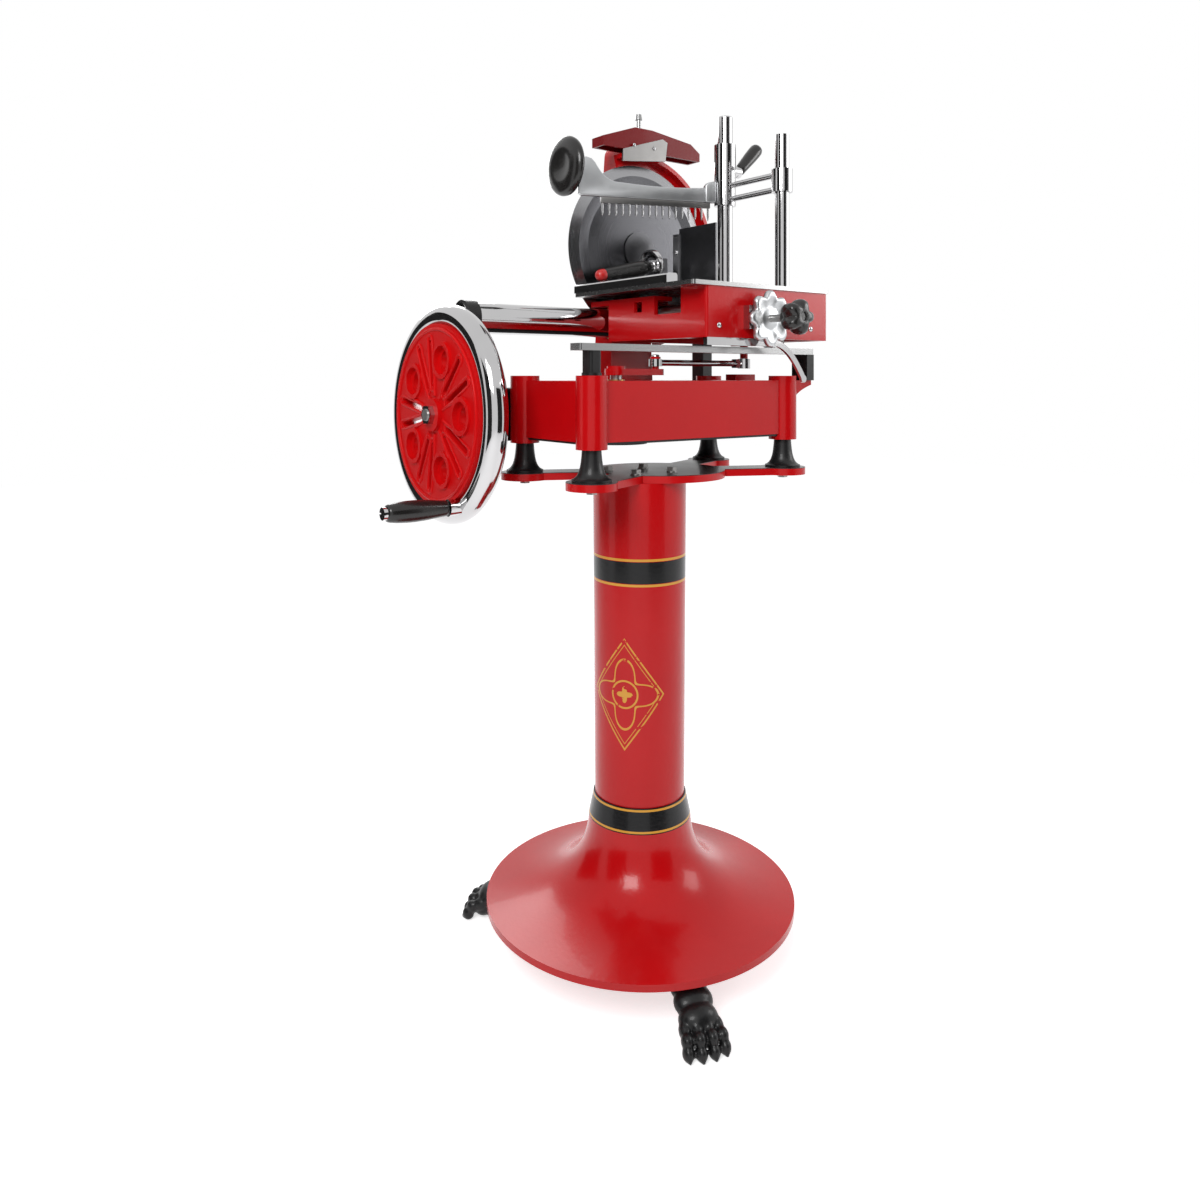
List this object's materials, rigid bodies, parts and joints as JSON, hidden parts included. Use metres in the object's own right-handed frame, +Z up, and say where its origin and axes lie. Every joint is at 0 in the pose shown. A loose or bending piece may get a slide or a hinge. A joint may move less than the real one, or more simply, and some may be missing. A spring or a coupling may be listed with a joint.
{
  "type": "hand crank meat slicer",
  "caption": "Hand-cranked meat slicer on a cast pedestal: a spoked flywheel drives a round knife, and a sliding carriage feeds a table with a toothed gripper.",
  "frame": {"origin": "on the floor, under the middle of the whole machine", "axes": "+Z up; +X along the carriage's travel, away from the flywheel; +Y from the operator's side to the knife"},
  "size_m": [0.8633, 0.7276, 1.614],
  "materials": {
    "red_paint": "gloss",
    "dark_red_paint": "gloss",
    "black_paint": "gloss",
    "red_gold_paint": "gloss, with black bands and gold lines",
    "chrome": "mirror",
    "steel": "ground",
    "blade_steel": "ground and polished",
    "dark_steel": "blued",
    "cast_iron": "machined",
    "bronze": "turned",
    "aluminium": "cast",
    "black_plastic": "gloss",
    "stone": "abrasive"
  },
  "bodies": {
    "pedestal": {"pedestal_column": "red_gold_paint", "pedestal_bell": "red_paint", "pedestal_collar": "black_paint", "paw_feet": "black_paint", "mounting_plate": "dark_red_paint", "hex_bolts": "steel", "base_legs": "black_paint", "base_housing": "red_paint", "under_covers": "black_paint", "drive_case": "black_paint", "knife_arm": "red_paint", "knife_arm_cover": "red_paint", "shaft_bushes": "bronze", "drive_chain": "dark_steel", "blade_guard": "red_paint", "slice_deflector": "chrome", "sharpener_housing": "dark_red_paint", "sharpener_plate": "aluminium", "guide_tube": "chrome", "tube_brackets": "black_paint", "front_rail": "steel", "rail_mounts": "black_paint"},
    "flywheel": {"flywheel_shaft": "steel", "flywheel_rim": "chrome", "flywheel_disc": "red_paint", "flywheel_nut": "chrome", "grip_pin": "chrome"},
    "handle": {"crank_grip": "black_plastic"},
    "cross_shaft": {"cross_shaft": "steel"},
    "chain_shaft": {"chain_shaft": "steel"},
    "knife": {"blade_shaft": "steel", "blade": "blade_steel"},
    "sharpener": {"sharpener_rod": "steel", "sharpening_stones": "stone"},
    "crank": {"crank_shaft": "steel", "crank_arm": "red_paint"},
    "rod": {"connecting_rod": "chrome"},
    "carriage": {"carriage_body": "red_paint", "carriage_bushes": "bronze", "table_rods": "steel", "carriage_strip": "chrome", "drive_bracket": "red_paint"},
    "roller": {"rail_roller": "steel"},
    "stroke_lever": {"stroke_lever": "chrome"},
    "table": {"meat_table": "steel", "table_cheek": "chrome", "guide_posts": "chrome", "side_fence": "dark_steel", "fence_bar": "chrome", "lever_stand": "chrome"},
    "table_lever": {"table_lever": "black_plastic"},
    "feed": {"feed_screw": "steel", "feed_wheel": "aluminium", "feed_knob": "black_plastic"},
    "gripper": {"gripper_clamp": "chrome", "gripper_rods": "chrome", "gripper_arm": "chrome", "gripper_comb": "chrome"},
    "gripper_knob": {"gripper_knob": "black_plastic"},
    "gripper_lock": {"gripper_lock": "black_plastic"}
  },
  "joints": [
    {"name": "flywheel_spin", "type": "hinge", "parent": "pedestal", "child": "flywheel", "pos_m": [-0.27, 0.162, 0.972], "axis": [1, 0, 0], "continuous": true},
    {"name": "handle_spin", "type": "hinge", "parent": "flywheel", "child": "handle", "pos_m": [-0.36, 0.07861, 0.81248], "axis": [1, 0, 0], "continuous": true},
    {"name": "cross_shaft_spin", "type": "hinge", "parent": "pedestal", "child": "cross_shaft", "pos_m": [-0.008, 0.077, 0.972], "axis": [0, 1, 0], "continuous": true},
    {"name": "chain_shaft_spin", "type": "hinge", "parent": "pedestal", "child": "chain_shaft", "pos_m": [0.22, 0.232, 0.972], "axis": [0, 1, 0], "continuous": true},
    {"name": "blade_spin", "type": "hinge", "parent": "pedestal", "child": "knife", "pos_m": [0.22, 0.209, 1.316], "axis": [0, 1, 0], "continuous": true},
    {"name": "sharpener_lower", "type": "slide", "parent": "pedestal", "child": "sharpener", "axis": [0, 0, 1], "range_m": [-0.02, 0]},
    {"name": "carriage_slide", "type": "slide", "parent": "pedestal", "child": "carriage", "axis": [1, 0, 0], "range_m": [-0.19, 0]},
    {"name": "crank_turn", "type": "hinge", "parent": "pedestal", "child": "crank", "pos_m": [-0.008, -0.008, 1.02], "axis": [0, 0, 1], "range_deg": [0, 180]},
    {"name": "rod_swing", "type": "hinge", "parent": "crank", "child": "rod", "pos_m": [0.087, -0.008, 1.068], "axis": [0, 0, 1], "range_deg": [-180, 0]},
    {"name": "roller_turn", "type": "hinge", "parent": "carriage", "child": "roller", "pos_m": [0.29, -0.118, 1.1193], "axis": [0, 1, 0], "range_deg": [-500, 0]},
    {"name": "stroke_lever_swing", "type": "hinge", "parent": "carriage", "child": "stroke_lever", "pos_m": [0.241, -0.168, 1.105], "axis": [0, 1, 0], "range_deg": [-25, 25]},
    {"name": "table_feed", "type": "slide", "parent": "carriage", "child": "table", "axis": [0, 1, 0], "range_m": [-0.12, 0]},
    {"name": "feed_turn", "type": "hinge", "parent": "carriage", "child": "feed", "pos_m": [0.211, -0.028, 1.148], "axis": [0, 1, 0], "range_deg": [-4321, 0]},
    {"name": "table_lever_twist", "type": "hinge", "parent": "table", "child": "table_lever", "pos_m": [0.21, 0.152, 1.276], "axis": [-0.981, 0, -0.1942], "range_deg": [-90, 90]},
    {"name": "gripper_height", "type": "slide", "parent": "table", "child": "gripper", "axis": [0, 0, 1], "range_m": [-0.12, 0.04]},
    {"name": "gripper_knob_turn", "type": "hinge", "parent": "gripper", "child": "gripper_knob", "pos_m": [-0.038, 0.117, 1.451], "axis": [1, 0, 0], "range_deg": [-180, 180]},
    {"name": "gripper_lock_turn", "type": "hinge", "parent": "gripper", "child": "gripper_lock", "pos_m": [0.312, 0.004, 1.464], "axis": [1, 0, 0], "range_deg": [-30, 30]}
  ],
  "couplings": [
    {"joint": "cross_shaft_spin", "follows": "flywheel_spin", "ratio": -1},
    {"joint": "chain_shaft_spin", "follows": "flywheel_spin", "ratio": 1},
    {"joint": "blade_spin", "follows": "flywheel_spin", "ratio": 2.5},
    {"joint": "crank_turn", "follows": "carriage_slide", "rad_per_m": -16.535},
    {"joint": "rod_swing", "follows": "carriage_slide", "rad_per_m": 16.535},
    {"joint": "roller_turn", "follows": "carriage_slide", "rad_per_m": 45.455},
    {"joint": "feed_turn", "follows": "table_feed", "rad_per_m": 628.32}
  ]
}
